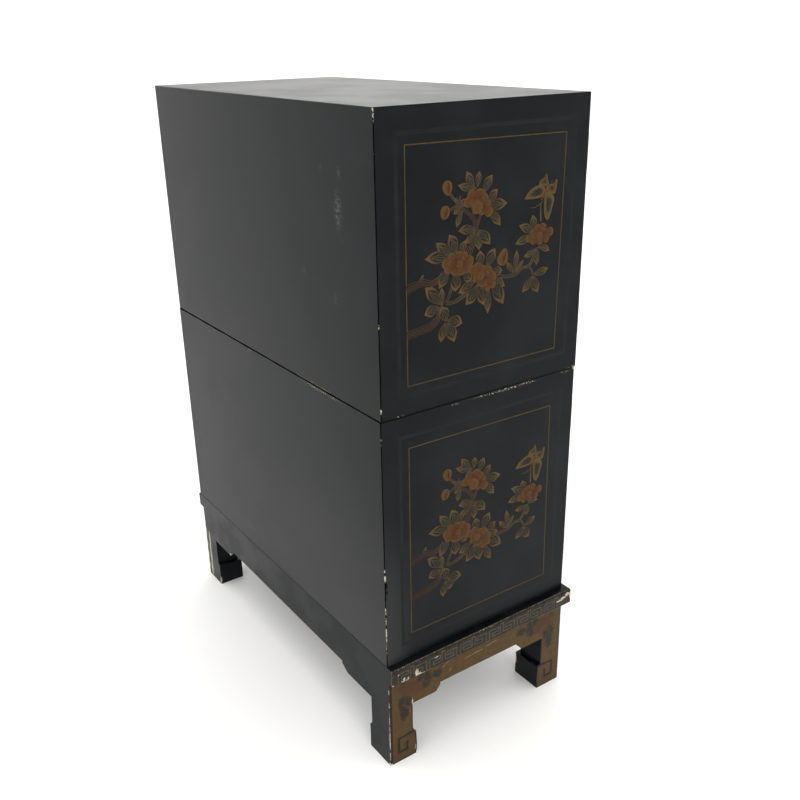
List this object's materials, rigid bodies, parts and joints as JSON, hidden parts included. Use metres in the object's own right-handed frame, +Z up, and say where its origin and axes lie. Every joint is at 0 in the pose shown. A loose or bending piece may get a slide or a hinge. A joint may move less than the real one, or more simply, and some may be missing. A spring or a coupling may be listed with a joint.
{
  "type": "cabinet on stand",
  "caption": "Black lacquer cupboard boxes stacked loose on a low bracket-foot stand, with hinged doors, drop pulls, gold lines and painted flowering branches.",
  "frame": {"origin": "on the floor under the middle of the whole object's box", "axes": "+Z up, doors face -Y, left side at -X"},
  "size_m": [0.731, 0.3816, 1.02],
  "materials": {
    "black_lacquer": "satin black lacquer on wood, worn to the ground along the edges",
    "gold_lacquer": "aged bronze-gold lacquer on wood with faded painted flowers and a key pattern on dark brown",
    "interior_lacquer": "dull dark red lacquer on wood",
    "aged_brass": "aged polished brass",
    "catch_plastic": "brown moulded plastic",
    "strike_steel": "plain steel",
    "gold_paint": "hand-painted dull gold line work",
    "leaf_paint": "hand-painted dark green-grey leaves",
    "flower_paint": "hand-painted orange-red blossoms"
  },
  "bodies": {
    "stand": {"stand_top_board": "gold_lacquer", "stand_front_apron": "gold_lacquer", "stand_back_apron": "black_lacquer", "stand_left_apron": "gold_lacquer", "stand_right_apron": "gold_lacquer", "stand_corner_blocks": "black_lacquer"},
    "lower_box": {"lower_left_side": "black_lacquer", "lower_right_side": "black_lacquer", "lower_top_board": "black_lacquer", "lower_bottom_board": "black_lacquer", "lower_back_panel": "black_lacquer", "lower_shelf": "interior_lacquer", "lower_shelf_cleats": "interior_lacquer", "lower_catch": "catch_plastic", "lower_frame_hinge_leaves": "aged_brass", "lower_hinge_pins": "aged_brass", "lower_hinge_nails": "aged_brass"},
    "lower_left_door": {"lower_left_door": "black_lacquer", "lower_left_door_hinge_leaves": "aged_brass", "lower_left_door_nails": "aged_brass", "lower_left_lock_plate": "aged_brass", "lower_left_pull_post": "aged_brass", "lower_left_strike": "strike_steel"},
    "lower_left_pull": {"lower_left_pull": "aged_brass"},
    "lower_right_door": {"lower_right_door": "black_lacquer", "lower_right_door_hinge_leaves": "aged_brass", "lower_right_door_nails": "aged_brass", "lower_right_lock_plate": "aged_brass", "lower_right_pull_post": "aged_brass", "lower_right_strike": "strike_steel"},
    "lower_right_pull": {"lower_right_pull": "aged_brass"},
    "upper_box": {"upper_left_side": "black_lacquer", "upper_right_side": "black_lacquer", "upper_top_board": "black_lacquer", "upper_bottom_board": "black_lacquer", "upper_back_panel": "black_lacquer", "upper_shelf": "interior_lacquer", "upper_shelf_cleats": "interior_lacquer", "upper_catch": "catch_plastic", "upper_frame_hinge_leaves": "aged_brass", "upper_hinge_pins": "aged_brass", "upper_hinge_nails": "aged_brass"},
    "upper_left_door": {"upper_left_door": "black_lacquer", "upper_left_door_hinge_leaves": "aged_brass", "upper_left_door_nails": "aged_brass", "upper_left_lock_plate": "aged_brass", "upper_left_pull_post": "aged_brass", "upper_left_strike": "strike_steel"},
    "upper_left_pull": {"upper_left_pull": "aged_brass"},
    "upper_right_door": {"upper_right_door": "black_lacquer", "upper_right_door_hinge_leaves": "aged_brass", "upper_right_door_nails": "aged_brass", "upper_right_lock_plate": "aged_brass", "upper_right_pull_post": "aged_brass", "upper_right_strike": "strike_steel"},
    "upper_right_pull": {"upper_right_pull": "aged_brass"}
  },
  "joints": [
    {"name": "lower_box_lift", "type": "slide", "parent": "stand", "child": "lower_box", "axis": [0, 0, 1], "range_m": [0, 0.12]},
    {"name": "lower_left_door_hinge", "type": "hinge", "parent": "lower_box", "child": "lower_left_door", "pos_m": [-0.33325, -0.18325, 0.40125], "axis": [0, 0, -1], "range_deg": [0, 170]},
    {"name": "lower_left_pull_swing", "type": "hinge", "parent": "lower_left_door", "child": "lower_left_pull", "pos_m": [-0.021, -0.18725, 0.41725], "axis": [-1, 0, 0], "range_deg": [-3, 100]},
    {"name": "lower_right_door_hinge", "type": "hinge", "parent": "lower_box", "child": "lower_right_door", "pos_m": [0.33925, -0.18325, 0.40125], "axis": [0, 0, 1], "range_deg": [0, 170]},
    {"name": "lower_right_pull_swing", "type": "hinge", "parent": "lower_right_door", "child": "lower_right_pull", "pos_m": [0.027, -0.18725, 0.41725], "axis": [-1, 0, 0], "range_deg": [-3, 100]},
    {"name": "upper_box_lift", "type": "slide", "parent": "lower_box", "child": "upper_box", "axis": [0, 0, 1], "range_m": [0, 0.12]},
    {"name": "upper_left_door_hinge", "type": "hinge", "parent": "upper_box", "child": "upper_left_door", "pos_m": [-0.33525, -0.18325, 0.81375], "axis": [0, 0, -1], "range_deg": [0, 170]},
    {"name": "upper_left_pull_swing", "type": "hinge", "parent": "upper_left_door", "child": "upper_left_pull", "pos_m": [-0.023, -0.18725, 0.82975], "axis": [-1, 0, 0], "range_deg": [-3, 100]},
    {"name": "upper_right_door_hinge", "type": "hinge", "parent": "upper_box", "child": "upper_right_door", "pos_m": [0.33725, -0.18325, 0.81375], "axis": [0, 0, 1], "range_deg": [0, 170]},
    {"name": "upper_right_pull_swing", "type": "hinge", "parent": "upper_right_door", "child": "upper_right_pull", "pos_m": [0.025, -0.18725, 0.82975], "axis": [-1, 0, 0], "range_deg": [-3, 100]}
  ]
}
